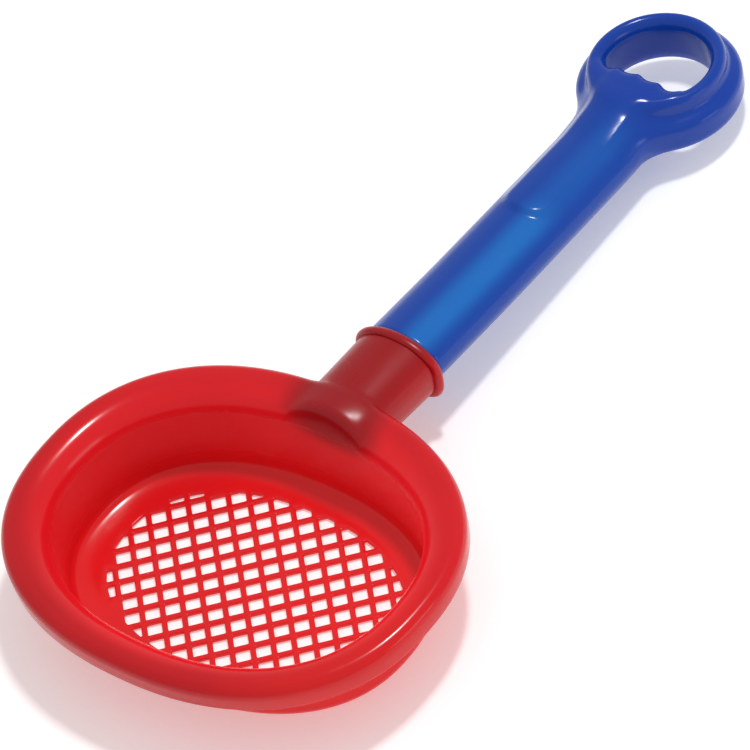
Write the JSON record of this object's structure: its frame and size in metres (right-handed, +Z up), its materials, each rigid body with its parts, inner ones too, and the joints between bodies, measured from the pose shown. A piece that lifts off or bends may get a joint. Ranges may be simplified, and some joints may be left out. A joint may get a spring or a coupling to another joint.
{
  "type": "sand scoop with sieve bowl",
  "caption": "Child's sand scoop: oval bowl with a diagonal grid sieve floor and rolled rim, with a socket that holds a hollow oval handle ending in a ring grip.",
  "frame": {"origin": "underside of the sieve floor, on the crossing of two grid bars beside the middle of the bowl", "axes": "+Z up out of the bowl, +Y along the handle towards the ring grip, +X to the right across the bowl"},
  "size_m": [0.1892, 0.3859, 0.044],
  "materials": {
    "red_plastic": "glossy injection-moulded plastic, a little translucent",
    "blue_plastic": "glossy blow-moulded plastic"
  },
  "bodies": {
    "bowl": {"sieve_bowl": "red_plastic"},
    "handle": {"ring_handle": "blue_plastic"}
  },
  "joints": [
    {"name": "handle_pull", "type": "slide", "parent": "bowl", "child": "handle", "axis": [0, 0.9962, -0.0872], "range_m": [0, 0.05]}
  ]
}
